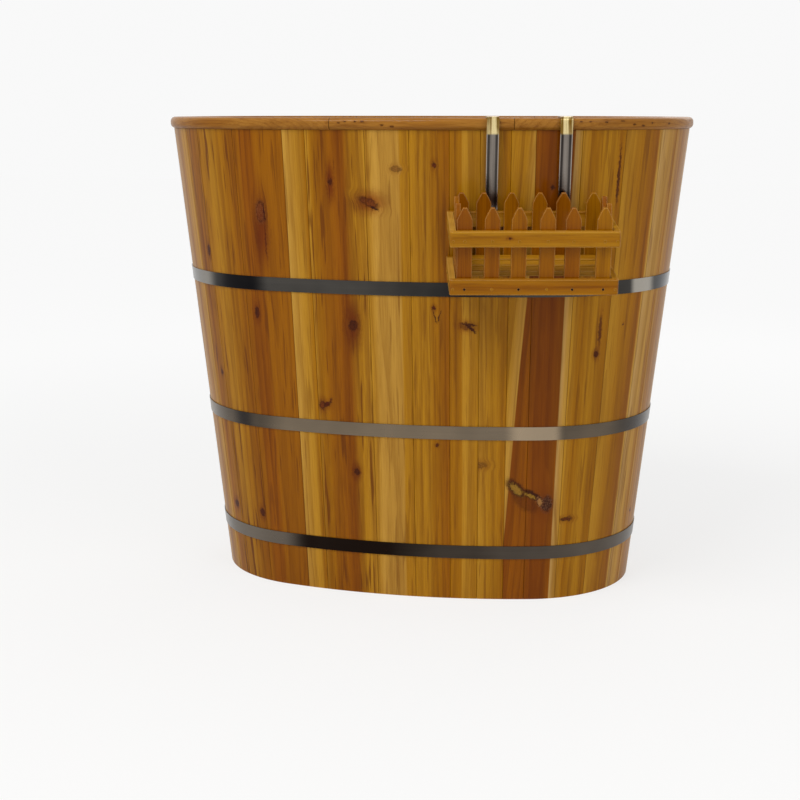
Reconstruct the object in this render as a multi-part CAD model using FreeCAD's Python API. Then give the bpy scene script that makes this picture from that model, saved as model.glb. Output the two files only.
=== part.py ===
import FreeCAD, Part
import math
import os

os.makedirs("parts", exist_ok=True)
V = FreeCAD.Vector

# overall sizes of the tub, in mm, with the wall's slope carried up to the top
height = 850.0
length = 955.0
width = 640.0
end_radius_share = 0.46875  # radius of the tight end curves, as a share of the width
flare = 90.0  # how much nearer the middle the wall stands at the floor than at the top
wall = 28.0
eased_edge = 0.7  # small chamfer along the edges of each board

# where the joints between staves lie: 0 to 1 along the front, 1 to 2 round the right end,
# 2 to 3 along the back, 3 to 4 round the left end
stave_joints = [
    0.100, 0.185, 0.400, 0.553, 0.690, 0.795, 0.897, 0.980,
    1.085, 1.188, 1.300, 1.367, 1.490, 1.620, 1.745, 1.875,
    2.000, 2.190, 2.400, 2.600, 2.800,
    3.000, 3.135, 3.270, 3.400, 3.535, 3.665, 3.766, 3.822, 3.938,
]

# rim cap
rim_joints = [0.280, 0.905, 1.520, 2.150, 2.920, 3.610]
rim_height = 20.0
rim_overhang = 6.0
rim_inner_overhang = 3.0
rim_outer_round = 8.0
rim_inner_round = 5.0

# floor, held in a groove round the staves
floor_lift = 75.0
floor_thickness = 24.0
floor_board_count = 5
groove_depth = 9.0

# hoops
upper_hoop_drop = 285.0  # from the top of the tub to the middle of the band
middle_hoop_share = 0.367  # of the height
lower_hoop_lift = 90.0
hoop_width = 24.0
hoop_thickness = 1.5
lap_start = 2.440
lap_end = 2.560
rivet_places = [2.470, 2.530]
rivet_radius = 2.5
rivet_head_radius = 5.5
rivet_head_flat = 3.0
rivet_head_height = 2.2

# drain
flange_radius = 36.0
flange_thickness = 3.0
flange_edge_round = 1.8
throat_radius = 20.0
sleeve_radius = 24.0
sleeve_reach = 20.0  # below the underside of the floor
fit_gap = 0.3
strainer_bar = 3.0
seal_thickness = 3.0
ring_radius = 34.0
nut_thickness = 12.0
nut_corners = 6
pipe_lift = 36.0
pipe_radius = 15.0
pipe_bore = 12.5
spigot_radius = 16.0
spigot_reach = 36.0
spigot_start = 3.0  # the spigot's shoulder stands this far out of the wall
cup_radius = 29.0
cup_floor = 3.0

# plug
plug_cap_radius = 27.0
plug_cap_thickness = 4.0
plug_depth = 9.0
plug_taper = 2.0
plug_neck_radius = 3.5
plug_neck_height = 6.0
plug_knob_radius = 7.0

# caddy that hangs on the rim
caddy_place = 0.955  # along the front, in the same measure as the stave joints
caddy_reach = 251.0  # from the top of the tub down to the foot of the straps
caddy_width = 266.0
caddy_depth = 154.0
rail_height = 25.0
rail_thickness = 10.0
rail_rise = 77.0  # from the lower rail to the upper one
rail_corner_round = 4.0
picket_width = 24.3
picket_thickness = 8.0
picket_shoulder = 16.0  # above the upper rail
front_picket_rise = 35.0
back_picket_rise = 33.0
side_picket_rise = 34.0
picket_tip = 6.0
picket_bulge = 0.5
front_picket_shares = [-0.99, -0.60, -0.22, 0.18, 0.54, 0.98]  # of the room from the middle to a corner picket
back_picket_shares = [-0.99, -0.66, -0.25, 0.17, 0.52, 0.96]
side_picket_shares = [0.27, 0.73]
cleat_width = 12.0
cleat_height = 10.0
slat_width = 28.0
slat_thickness = 8.0
slat_count = 3
nail_radius = 0.9
nail_head_radius = 2.0
nail_head_thickness = 1.0
nail_head_rise = 0.5
nail_share = 0.38  # up the rail's height
corner_nail_length = 30.0
picket_nail_bite = 5.0

# straps that carry the caddy
strap_width = 20.0
strap_thickness = 2.0
strap_share = 0.45  # of half the caddy's width, from the middle to each strap
strap_bend = 6.0
strap_stand_off = 4.0  # clear of the rim's nosing
hook_slack = 8.0
hook_leg = 45.0
rest_gap = 0.3
screw_radius = 1.8
screw_head_radius = 3.6
screw_head_depth = 1.8
screw_length = 9.0
screw_share = 0.75  # up the rail's height

# the oval is four arcs: a shallow one along each side and a tight one round each end
end_radius = end_radius_share * width
end_centre = length / 2 - end_radius
spare = width / 2 - end_radius
side_centre = (end_centre ** 2 - spare ** 2) / (2 * spare)
side_radius = width / 2 + side_centre
turn = math.degrees(math.atan2(end_centre, side_centre))
arcs = [
    (V(0, side_centre, 0), side_radius, -90 - turn, 2 * turn),
    (V(end_centre, 0, 0), end_radius, -90 + turn, 180 - 2 * turn),
    (V(0, -side_centre, 0), side_radius, 90 - turn, 2 * turn),
    (V(-end_centre, 0, 0), end_radius, 90 + turn, 180 - 2 * turn),
]
stave_height = height - rim_height
floor_top = floor_lift + floor_thickness
up = V(0, 0, 1)


def face_at(z):
    """Where the outer face of the wall is at one height, measured outward from the oval at the top."""
    return -flare * (1 - z / height)


def write(name, pieces):
    shape = pieces[0] if len(pieces) == 1 else Part.makeCompound(pieces)
    shape.exportStep("parts/" + name + ".step")


def polygon(points):
    """Closed flat section in the XZ plane from (outward, height) pairs."""
    corners = [V(x, 0, z) for x, z in points]
    return Part.Face(Part.makePolygon(corners + corners[:1]))


def rounded_polygon(points, radii):
    """The same with each corner rounded to its own radius, where that is not zero."""
    edges = []
    starts = []
    ends = []
    for i, (x, z) in enumerate(points):
        here = V(x, 0, z)
        before = V(points[i - 1][0], 0, points[i - 1][1]) - here
        after = V(points[(i + 1) % len(points)][0], 0, points[(i + 1) % len(points)][1]) - here
        before.normalize()
        after.normalize()
        if radii[i] == 0:
            starts.append(here)
            ends.append(here)
            continue
        half = before.getAngle(after) / 2
        cut = radii[i] / math.tan(half)
        middle = before + after
        middle.normalize()
        near = radii[i] / math.sin(half) - radii[i]
        starts.append(here + before * cut)
        ends.append(here + after * cut)
        edges.append(Part.Arc(starts[-1], here + middle * near, ends[-1]).toShape())
    for i in range(len(points)):
        following = starts[(i + 1) % len(points)]
        if ends[i].distanceToPoint(following) > 0:
            edges.append(Part.makeLine(ends[i], following))
    return Part.Face(Part.Wire(Part.__sortEdges__(edges)))


def sweep(section, start, end):
    """Carry a section along the oval from one place to another; places count on past 4."""
    pieces = []
    for lap in range(2):
        for i, (centre, radius, angle, span) in enumerate(arcs):
            first = max(start, i + lap * len(arcs))
            last = min(end, i + 1 + lap * len(arcs))
            if last - first <= 0:
                continue
            piece = section.copy()
            piece.translate(V(radius, 0, 0))
            piece = piece.revolve(V(0, 0, 0), up, (last - first) * span)
            piece.rotate(V(0, 0, 0), up, angle + (first - i - lap * len(arcs)) * span)
            piece.translate(centre)
            pieces.append(piece)
    whole = pieces[0]
    for piece in pieces[1:]:
        whole = whole.fuse(piece)
    return whole if len(pieces) == 1 else whole.removeSplitter()


def point_on(place, outward, z):
    """A point beside the oval, and the outward direction there."""
    i = int(place)
    centre, radius, angle, span = arcs[i]
    a = math.radians(angle + (place - i) * span)
    out = V(math.cos(a), math.sin(a), 0)
    return centre + out * (radius + outward) + up * z, out


def eased(shape, test):
    """Chamfer the edges that pass the test."""
    return shape.makeChamfer(eased_edge, [e for e in shape.Edges if test(e)])


def loop_pairs(joints):
    """Each joint with the next, the last one running round to the first."""
    following = joints[1:] + [joints[0] + len(arcs)]
    return list(zip(joints, following))


# staves
groove_back = face_at(floor_lift) - wall + groove_depth
stave_section = polygon([
    (face_at(0), 0),
    (face_at(stave_height), stave_height),
    (face_at(stave_height) - wall, stave_height),
    (face_at(floor_top) - wall, floor_top),
    (groove_back, floor_top),
    (groove_back, floor_lift),
    (face_at(floor_lift) - wall, floor_lift),
    (face_at(0) - wall, 0),
])
staves = [sweep(stave_section, a, b) for a, b in loop_pairs(stave_joints)]


def runs_up(edge):
    return edge.BoundBox.ZLength > stave_height / 2


staves = [eased(stave, runs_up) for stave in staves]

# the pipe leaves through the stave at the middle of the back
pipe_room = Part.makeCylinder(pipe_radius + fit_gap, width, V(0, 0, pipe_lift), V(0, 1, 0))
for i, (a, b) in enumerate(loop_pairs(stave_joints)):
    if a < 2.5 < b:
        staves[i] = staves[i].cut(pipe_room)
for i, stave in enumerate(staves):
    write("stave_%02d" % (i + 1), [stave])

# rim cap
rim_out = face_at(stave_height) + rim_overhang
rim_in = face_at(stave_height) - wall - rim_inner_overhang
rim_section = rounded_polygon(
    [(rim_in, stave_height), (rim_out, stave_height), (rim_out, height), (rim_in, height)],
    [rim_inner_round, rim_outer_round, rim_outer_round, rim_inner_round],
)
for i, (a, b) in enumerate(loop_pairs(rim_joints)):
    segment = sweep(rim_section, a, b)
    ends = [point_on(place % len(arcs), (rim_out + rim_in) / 2, stave_height)[0] for place in (a, b)]
    segment = eased(segment, lambda e: min((e.CenterOfMass - end).Length for end in ends) < wall
                    and e.Length < 2 * wall)
    write("rim_cap_%d" % (i + 1), [segment])

# floor boards, cut from one oval that fills the groove
outline = []
for centre, radius, angle, span in arcs:
    reach = radius + groove_back
    ends = [angle, angle + span / 2, angle + span]
    at = [centre + V(math.cos(math.radians(t)), math.sin(math.radians(t)), 0) * reach + up * floor_lift for t in ends]
    outline.append(Part.Arc(at[0], at[1], at[2]).toShape())
floor = Part.Face(Part.Wire(Part.__sortEdges__(outline))).extrude(up * floor_thickness)
half_floor = width / 2 + groove_back
board_width = 2 * half_floor / floor_board_count
drain_hole = Part.makeCylinder(sleeve_radius + fit_gap, floor_thickness, V(0, 0, floor_lift))
for i in range(floor_board_count):
    low = -half_floor + i * board_width
    board = floor.common(Part.makeBox(length, board_width, floor_thickness, V(-length / 2, low, floor_lift)))
    board = eased(board, lambda e: e.BoundBox.YLength < fit_gap and e.BoundBox.XLength > end_centre)
    write("floor_board_%d" % (i + 1), [board.cut(drain_hole)])

# hoops: flat bands lying on the slope of the wall, each lapped over itself at the back and riveted
hoop_levels = {
    "hoop_upper": height - upper_hoop_drop,
    "hoop_middle": height * middle_hoop_share,
    "hoop_lower": lower_hoop_lift,
}
slope = math.atan2(flare, height)


def band(level, layer, start, end):
    low = level - hoop_width / 2
    high = level + hoop_width / 2
    inner = hoop_thickness * layer
    outer = inner + hoop_thickness
    section = polygon([
        (face_at(low) + inner, low), (face_at(low) + outer, low),
        (face_at(high) + outer, high), (face_at(high) + inner, high),
    ])
    return sweep(section, start, end)


rivets = []
for name, level in hoop_levels.items():
    hoop = band(level, 0, 0, len(arcs)).fuse(band(level, 1, lap_start, lap_end)).removeSplitter()
    for place in rivet_places:
        foot, out = point_on(place, face_at(level), level)
        along = out * math.cos(slope) - up * math.sin(slope)
        through = 2 * hoop_thickness * math.cos(slope)
        shank = Part.makeCylinder(rivet_radius, through + rivet_head_height / 2, foot, along)
        head = Part.makeCone(rivet_head_radius, rivet_head_flat, rivet_head_height, foot + along * through, along)
        hoop = hoop.cut(Part.makeCylinder(rivet_radius, through + rivet_head_height, foot, along))
        rivets.append(head.fuse(shank).removeSplitter())
    write(name, [hoop])
write("hoop_rivets", rivets)

# drain: flange and threaded sleeve with a crossed strainer
sleeve_foot = floor_lift - sleeve_reach
flange_top = floor_top + flange_thickness
flange = Part.makeCylinder(flange_radius, flange_thickness, V(0, 0, floor_top))
flange = flange.makeFillet(flange_edge_round, [e for e in flange.Edges if abs(e.BoundBox.ZMin - flange_top) < fit_gap
                                               and e.BoundBox.ZLength < fit_gap])
sleeve = Part.makeCylinder(sleeve_radius, floor_top - sleeve_foot, V(0, 0, sleeve_foot))
throat = Part.makeCylinder(throat_radius, flange_top - sleeve_foot, V(0, 0, sleeve_foot))
drain = flange.fuse(sleeve).cut(throat)
for turn_by in (0, 90):
    bar = Part.makeBox(2 * throat_radius, strainer_bar, strainer_bar, V(-throat_radius, -strainer_bar / 2, floor_lift))
    bar = bar.common(Part.makeCylinder(throat_radius, strainer_bar, V(0, 0, floor_lift)))
    bar.rotate(V(0, 0, 0), up, turn_by)
    drain = drain.fuse(bar)
write("drain_flange", [drain.removeSplitter()])

seal_foot = floor_lift - seal_thickness
bore = Part.makeCylinder(sleeve_radius + fit_gap, floor_lift, V(0, 0, 0))
seal = Part.makeCylinder(ring_radius, seal_thickness, V(0, 0, seal_foot)).cut(bore)
write("drain_seal", [seal])

nut_foot = seal_foot - nut_thickness
corners = [V(ring_radius * math.cos(2 * math.pi * k / nut_corners),
             ring_radius * math.sin(2 * math.pi * k / nut_corners), nut_foot) for k in range(nut_corners)]
nut = Part.Face(Part.makePolygon(corners + corners[:1])).extrude(up * nut_thickness)
nut_bore = Part.makeCylinder(sleeve_radius, floor_lift, V(0, 0, 0))
write("drain_nut", [nut.cut(nut_bore)])

# drain pipe: a cup on the sleeve's foot, then straight out through the back
cup_foot = pipe_lift - pipe_radius - cup_floor
cup = Part.makeCylinder(cup_radius, nut_foot - cup_foot, V(0, 0, cup_foot))
back_face = width / 2 + face_at(pipe_lift)
shoulder = back_face + spigot_start
pipe = Part.makeCylinder(pipe_radius, shoulder, V(0, 0, pipe_lift), V(0, 1, 0))
spigot = Part.makeCylinder(spigot_radius, spigot_reach, V(0, shoulder, pipe_lift), V(0, 1, 0))
outlet = cup.fuse(pipe).fuse(spigot)
cup_inside = Part.makeCylinder(sleeve_radius, nut_foot - cup_foot - cup_floor, V(0, 0, cup_foot + cup_floor))
pipe_inside = Part.makeCylinder(pipe_bore, shoulder + spigot_reach, V(0, 0, pipe_lift), V(0, 1, 0))
write("drain_outlet", [outlet.cut(cup_inside).cut(pipe_inside)])

# plug: a tapered stopper with a cap and a knob to lift it by
plug_foot = flange_top + rest_gap
stopper = Part.makeCone(throat_radius - fit_gap - plug_taper, throat_radius - fit_gap, plug_depth,
                        V(0, 0, plug_foot - plug_depth))
cap = Part.makeCylinder(plug_cap_radius, plug_cap_thickness, V(0, 0, plug_foot))
cap = cap.makeFillet(plug_cap_thickness / 2, [e for e in cap.Edges if e.BoundBox.ZMin > plug_foot + fit_gap])
neck = Part.makeCylinder(plug_neck_radius, plug_neck_height, V(0, 0, plug_foot + plug_cap_thickness))
knob = Part.makeSphere(plug_knob_radius, V(0, 0, plug_foot + plug_cap_thickness + plug_neck_height))
write("plug", [stopper.fuse(cap).fuse(neck).fuse(knob).removeSplitter()])

# the caddy is built upright with the foot of its straps at the origin, its back face on y = 0 and
# its front towards -y, then leaned and turned to hang against the wall
caddy_foot = height - caddy_reach
strap_middle = strap_share * caddy_width / 2
strap_inner_edge = strap_middle - strap_width / 2
wall_radius = side_radius + face_at(caddy_foot)
recess = wall_radius - math.sqrt(wall_radius ** 2 - strap_inner_edge ** 2)
behind = [z for z in hoop_levels.values() if caddy_foot < z + hoop_width / 2 < height]
foot_out = face_at(caddy_foot) - recess + rest_gap + (hoop_thickness if behind else 0)
rim_middle = stave_height + rim_height / 2
lean = math.atan2(rim_out + strap_stand_off - foot_out, rim_middle - caddy_foot)
caddy_point, caddy_out = point_on(caddy_place, foot_out, caddy_foot)
caddy_turn = math.degrees(math.atan2(caddy_out.x, -caddy_out.y))


def hang(shape):
    """Lean a caddy piece outward at the top, turn it square to the wall and take it to its place."""
    shape.rotate(V(0, 0, 0), V(1, 0, 0), math.degrees(lean))
    shape.rotate(V(0, 0, 0), up, caddy_turn)
    shape.translate(caddy_point)
    return shape


def block(x0, x1, y0, y1, z0, z1):
    return Part.makeBox(x1 - x0, y1 - y0, z1 - z0, V(x0, y0, z0))


half = caddy_width / 2
row_reach = half - rail_thickness - picket_width / 2
back_rail = -strap_thickness
back_picket = back_rail - rail_thickness
back_inside = back_picket - picket_thickness
front_rail = back_rail - caddy_depth
front_picket = front_rail + rail_thickness
front_inside = front_picket + picket_thickness
side_inside = half - rail_thickness
picket_inside = side_inside - picket_thickness
rail_top = rail_rise + rail_height

# nails and screws, also used to make their holes
nails = []


def nail(x, y, z, direction, shank, rise):
    way = V(direction[0], direction[1], 0)
    head = Part.makeCylinder(nail_head_radius, nail_head_thickness, V(x, y, z) - way * rise, way)
    nails.append(head.fuse(Part.makeCylinder(nail_radius, shank, V(x, y, z), way)).removeSplitter())


picket_shank = rail_thickness + picket_nail_bite
for level in (0, rail_rise):
    nail_z = level + nail_share * rail_height
    for share in front_picket_shares:
        nail(share * row_reach, front_rail, nail_z, (0, 1), picket_shank, nail_head_rise)
    for share in back_picket_shares:
        nail(share * row_reach, back_rail, nail_z, (0, -1), picket_shank, 0)
    for side in (-1, 1):
        corner_x = side * (half - rail_thickness / 2)
        nail(corner_x, front_rail, nail_z, (0, 1), corner_nail_length, nail_head_rise)
        nail(corner_x, back_rail, nail_z, (0, -1), corner_nail_length, 0)
        for share in side_picket_shares:
            nail_y = back_inside + share * (front_inside - back_inside)
            nail(side * half, nail_y, nail_z, (-side, 0), picket_shank, nail_head_rise)
screws = []
for side in (-1, 1):
    for level in (0, rail_rise):
        at = V(side * strap_middle, 0, level + screw_share * rail_height)
        cone = Part.makeCone(screw_head_radius, screw_radius, screw_head_depth, at, V(0, -1, 0))
        screws.append(cone.fuse(Part.makeCylinder(screw_radius, screw_length, at, V(0, -1, 0))).removeSplitter())
fixings = Part.makeCompound(nails + screws)


def drilled(shape):
    return shape.cut(fixings)


def rails(low):
    high = low + rail_height
    front = block(-half, half, front_rail, front_picket, low, high)
    corner_edges = [e for e in front.Edges if e.BoundBox.ZLength > fit_gap and e.BoundBox.YMax < front_rail + fit_gap]
    front = eased(front.makeFillet(rail_corner_round, corner_edges), lambda e: e.Length > half)
    back = eased(block(-half, half, back_picket, back_rail, low, high), lambda e: True)
    sides = [block(x, x + rail_thickness, front_picket, back_picket, low, high) for x in (-half, side_inside)]
    sides = [eased(bar, lambda e: e.Length > rail_height) for bar in sides]
    return [hang(drilled(bar)) for bar in [front, back] + sides]


write("caddy_upper_rails", rails(rail_rise))
write("caddy_lower_rails", rails(0))


def picket(rise, thickness):
    """A flat picket with a curved point, standing on z = 0 and centred on x = 0."""
    side = picket_width / 2
    tip = picket_tip / 2
    shoulder = rail_top + picket_shoulder
    top = rail_top + rise
    run = V(tip - side, 0, top - shoulder)
    across = V(run.z, 0, -run.x)
    across.normalize()
    middle = V((side + tip) / 2, 0, (shoulder + top) / 2) + across * picket_bulge
    left = V(-middle.x, 0, middle.z)
    edges = [
        Part.makeLine(V(-side, 0, 0), V(side, 0, 0)),
        Part.makeLine(V(side, 0, 0), V(side, 0, shoulder)),
        Part.Arc(V(side, 0, shoulder), middle, V(tip, 0, top)).toShape(),
        Part.makeLine(V(tip, 0, top), V(-tip, 0, top)),
        Part.Arc(V(-tip, 0, top), left, V(-side, 0, shoulder)).toShape(),
        Part.makeLine(V(-side, 0, shoulder), V(-side, 0, 0)),
    ]
    return eased(Part.Face(Part.Wire(edges)).extrude(V(0, thickness, 0)), lambda e: True)


def row_of_pickets(shares, y, rise):
    row = []
    for share in shares:
        piece = picket(rise, picket_thickness)
        piece.translate(V(share * row_reach, y, 0))
        row.append(hang(drilled(piece)))
    return row


write("caddy_front_pickets", row_of_pickets(front_picket_shares, front_picket, front_picket_rise))
write("caddy_back_pickets", row_of_pickets(back_picket_shares, back_inside, back_picket_rise))
side_pickets = []
for side in (-1, 1):
    for share in side_picket_shares:
        piece = picket(side_picket_rise, picket_thickness)
        piece.rotate(V(0, 0, 0), up, -90 * side)
        piece.translate(V(side * picket_inside, back_inside + share * (front_inside - back_inside), 0))
        side_pickets.append(hang(drilled(piece)))
write("caddy_side_pickets", side_pickets)

# caddy floor: slats on two cleats
slat_gap = (back_inside - front_inside - slat_count * slat_width) / slat_count
bottom = [block(x, x + cleat_width, front_inside, back_inside, rail_height - cleat_height, rail_height)
          for x in (-picket_inside, picket_inside - cleat_width)]
for i in range(slat_count):
    low = front_inside + slat_gap / 2 + i * (slat_width + slat_gap)
    slat = block(-picket_inside, picket_inside, low, low + slat_width, rail_height, rail_height + slat_thickness)
    bottom.append(eased(slat, lambda e: True))
write("caddy_floor", [hang(piece) for piece in bottom])
write("caddy_nails", [hang(piece) for piece in nails])

# straps: up behind the caddy, over the rim and down inside
tilt = math.tan(lean)
top_under = (height + rest_gap - caddy_foot) / math.cos(lean)
inside_edge = (foot_out - rim_in) * math.cos(lean) + (height - caddy_foot) * math.sin(lean) + hook_slack
lift = strap_thickness / math.cos(lean)
inner_top = top_under - tilt * inside_edge
profile = [
    (0, 0), (0, top_under), (inside_edge, inner_top), (inside_edge, inner_top - hook_leg),
    (inside_edge + strap_thickness, inner_top - hook_leg),
    (inside_edge + strap_thickness, top_under - tilt * (inside_edge + strap_thickness) + lift),
    (-strap_thickness, top_under + tilt * strap_thickness + lift), (-strap_thickness, 0),
]
outer_bend = strap_bend + strap_thickness
strap_section = rounded_polygon(profile, [0, strap_bend, strap_bend, 0, 0, outer_bend, outer_bend, 0])
strap_section.rotate(V(0, 0, 0), up, 90)
for name, side in (("strap_left", -1), ("strap_right", 1)):
    strap = strap_section.copy()
    strap.translate(V(side * strap_middle - strap_width / 2, 0, 0))
    strap = strap.extrude(V(strap_width, 0, 0))
    write(name, [hang(strap.cut(Part.makeCompound(screws)))])
write("strap_screws", [hang(piece) for piece in screws])
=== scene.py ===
import math
import random

import bpy
from mathutils import Matrix, Vector


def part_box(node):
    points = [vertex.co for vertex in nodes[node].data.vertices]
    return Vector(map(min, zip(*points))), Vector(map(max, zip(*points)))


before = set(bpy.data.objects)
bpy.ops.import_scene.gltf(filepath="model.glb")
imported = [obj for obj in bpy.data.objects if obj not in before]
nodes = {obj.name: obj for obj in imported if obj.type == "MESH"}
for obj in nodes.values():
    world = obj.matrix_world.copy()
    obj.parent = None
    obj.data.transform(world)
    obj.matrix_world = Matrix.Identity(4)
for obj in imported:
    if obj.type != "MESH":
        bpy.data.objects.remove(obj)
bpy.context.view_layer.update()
print("frame loaded:", len(nodes), "nodes")

# metres everywhere, z up, the camera's side is -y
tub = {
    "height": 0.850, "length": 0.955, "width": 0.640,
    "endRadius": 0.300,  # of the round ends; the long sides are flatter arcs
    "flare": 0.090,  # how much further out the wall is at the rim than at the foot
    "middle": 0.450,  # level at which the tones of the staves were read off
}
# joints between the staves: whole part is the side (front, right end, back, left end), rest the way along it
staveJoints = [
    0.100, 0.185, 0.400, 0.553, 0.690, 0.795, 0.897, 0.980, 1.085, 1.188, 1.300, 1.367, 1.490, 1.620, 1.745,
    1.875, 2.000, 2.190, 2.400, 2.600, 2.800, 3.000, 3.135, 3.270, 3.400, 3.535, 3.665, 3.766, 3.822, 3.938,
]
rimJoints = [0.280, 0.905, 1.520, 2.150, 2.920, 3.610]
sides = 4

endCentre = tub["length"] / 2 - tub["endRadius"]
slack = tub["width"] / 2 - tub["endRadius"]
sideCentre = (endCentre ** 2 - slack ** 2) / (2 * slack)
sideRadius = sideCentre + tub["width"] / 2
sideTurn = math.degrees(math.atan2(endCentre, sideCentre))
# the oval at the rim: centre, radius, first angle and span of each side's arc
arcs = [
    ((0, sideCentre), sideRadius, -90 - sideTurn, 2 * sideTurn),
    ((endCentre, 0), tub["endRadius"], -90 + sideTurn, 180 - 2 * sideTurn),
    ((0, -sideCentre), sideRadius, 90 - sideTurn, 2 * sideTurn),
    ((-endCentre, 0), tub["endRadius"], 90 + sideTurn, 180 - 2 * sideTurn),
]


def wallPoint(place, level, outward=0.0):
    # a point on the wall's outer face, and the way out from there
    centre, radius, start, span = arcs[int(place) % sides]
    angle = math.radians(start + place % 1 * span)
    way = Vector((math.cos(angle), math.sin(angle), 0))
    reach = radius + outward - tub["flare"] * (1 - level / tub["height"])
    return Vector((centre[0], centre[1], level)) + way * reach, way


def boardMatrix(origin, across, along):
    # x across the board, y into it, z along its grain
    across = (across - along * across.dot(along)).normalized()
    turned = Matrix((across, along.cross(across), along)).transposed().to_4x4()
    return Matrix.Translation(origin) @ turned


def staveMatrix(place, skew=0.0):
    foot = wallPoint(place, 0)[0]
    middle, way = wallPoint(place, tub["middle"])
    straight = boardMatrix(middle, Vector((-way.y, way.x, 0)), (middle - foot).normalized())
    return straight @ Matrix.Rotation(math.radians(skew), 4, "Y")


# Tools for all the materials

def linear(hexColour):
    # sRGB hex to the linear values that Blender wants
    def channel(value):
        return value / 12.92 if value <= 0.04045 else ((value + 0.055) / 1.055) ** 2.4
    parts = [int(hexColour[i:i + 2], 16) / 255 for i in (1, 3, 5)]
    return [channel(part) for part in parts] + [1.0]


def grey(value):
    return (value, value, value, 1)


def addNode(tree, kind, settings=None, sockets=None):
    # sockets go by name, or by number where names repeat: a colour Mix takes its factor on 0 and its
    # colours on 6 and 7, and gives the result on 2
    node = tree.nodes.new(kind)
    for key, value in (settings or {}).items():
        setattr(node, key, value)
    for key, value in (sockets or {}).items():
        if isinstance(value, bpy.types.NodeSocket):
            tree.links.new(value, node.inputs[key])
        else:
            node.inputs[key].default_value = value
    return node


def setStops(ramp, stops, smooth="EASE"):
    ramp.interpolation = smooth
    while len(ramp.elements) < len(stops):
        ramp.elements.new(0.5)
    for element, (spot, colour) in zip(ramp.elements, stops):
        element.position = spot
        element.color = colour


def startMaterial(name):
    material = bpy.data.materials.new(name)
    material.use_nodes = True
    material.node_tree.nodes.clear()
    return material, material.node_tree


def finishMaterial(tree, shader):
    addNode(tree, "ShaderNodeOutputMaterial", {}, {"Surface": shader.outputs[0]})


def cover(name, material):
    # the whole of a node in one material
    nodes[name].data.materials.clear()
    nodes[name].data.materials.append(material)


# Fir: sawn and planed boards of Chinese fir under two coats of gloss varnish.
# To the eye it is straw yellow sapwood and red brown heartwood, often both in one board, with soft streaks
# and rings along it, small dark knots that stain the wood round them, and a thin shine.
firTones = {
    "pale": "#CCA25C", "straw": "#C4943C", "honey": "#BC8824", "golden": "#B47E16", "amber": "#A86F08",
    "tan": "#A5702A", "brown": "#9C5F02", "russet": "#925200", "heart": "#824300",
}
fir = {
    # the grain strays from straight by this much, over some 80 mm across and ten times that along
    "wander": 0.016, "wanderScale": 12, "grainStretch": 0.10,
    # wide soft streaks drawn out along the board; an edge is the noise where a mark starts and is full
    "streakWidth": 0.018, "streakStretch": 0.045, "streakEdge": (0.42, 0.64), "streakShade": "#C9B798",
    # growth rings 7 to 14 mm apart on a stave, round a pith beside the board and behind its face
    "ringGap": 0.0085, "ringSpread": (0.8, 1.7), "pith": (0.050, 0.060), "pithSpread": (0.6, 1.4),
    "lateShade": "#BCA682",
    # thin red brown resin lines
    "resinWidth": 0.006, "resinEdge": (0.58, 0.68), "resinShade": "#6A3604",
    # fibres, drawn coarser than the real ones so that they show
    "fibreWidth": 0.0012, "fibreStretch": 0.02, "fibreEdge": (0.4, 0.7), "fibreStrength": 0.35,
    "fibreShade": "#CCB490",
    # knots: how far the outline strays and its lumps per metre, then how far round a knot the grain bends
    # and how big its stain is across and along, all three counted in the knot's own size
    "ragged": (0.010, 0, 0.014), "raggedScale": 190, "knotPush": 2.6, "haloReach": 2.4, "haloStretch": 3.2,
    "fleckScale": 420, "fleckEdge": (0.48, 0.58), "fleckStrength": 0.8,
    "haloShade": "#B98654", "knotRim": "#331202", "knotEdge": "#5A2A06",
    # varnish and dust gather along joints, and the edges of planed strips get a painted highlight
    "jointWidth": 0.0011, "jointShade": "#2E1602", "arrisWidth": 0.0011, "edgeHighlightShade": "#E0B878",
    # varnish with a thin shine, open grain under it and brush marks on it
    "roughness": (0.36, 0.5), "specular": 0.03, "varnish": 0.3, "varnishRoughness": 0.12, "varnishIor": 1.33,
    "fibreDepth": 0.0004, "brushDepth": 0.0006, "bump": 0.25,
}
# what a knot has unless it says otherwise; every knot also has a size, half its width and half its height
plainKnot = {
    "tilt": 0, "deep": None, "push": 0.8, "halo": 0.7, "streak": 1.0, "hang": 0, "strength": 0.9,
    "core": "#4A1C04", "fleck": "#2A0E02",
}


def aroundKnot(tree, knotSpace, knot, reach=1.0, rise=1.0, tilt=0.0, hang=0.0):
    # coordinates that are 0 in the middle of a knot, or of its stain, and 1 long at the edge
    wide, high = knot["size"]
    middle = knot["middle"] + Vector(fir["ragged"]) / 2
    return addNode(tree, "ShaderNodeMapping", {"vector_type": "TEXTURE"}, {
        "Vector": knotSpace,
        "Location": (middle.x, middle.y if knot["deep"] else 0, middle.z + hang),
        "Rotation": (0, math.radians(tilt), 0),
        "Scale": (wide * reach, (knot["deep"] or 1) * reach, high * rise)}).outputs[0]


def bendGrain(tree, bent, spot, distance, knot):
    # the grain parts round a knot
    near = addNode(tree, "ShaderNodeMapRange", {"interpolation_type": "SMOOTHSTEP"}, {
        "Value": distance, "From Min": 0, "From Max": fir["knotPush"], "To Min": 1, "To Max": 0})
    pushed = addNode(tree, "ShaderNodeVectorMath", {"operation": "SCALE"}, {
        0: spot, "Scale": near.outputs[0]})
    return addNode(tree, "ShaderNodeVectorMath", {"operation": "MULTIPLY_ADD"}, {
        0: pushed.outputs[0], 1: (-knot["size"][0] * knot["push"], 0, 0), 2: bent}).outputs[0]


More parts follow.
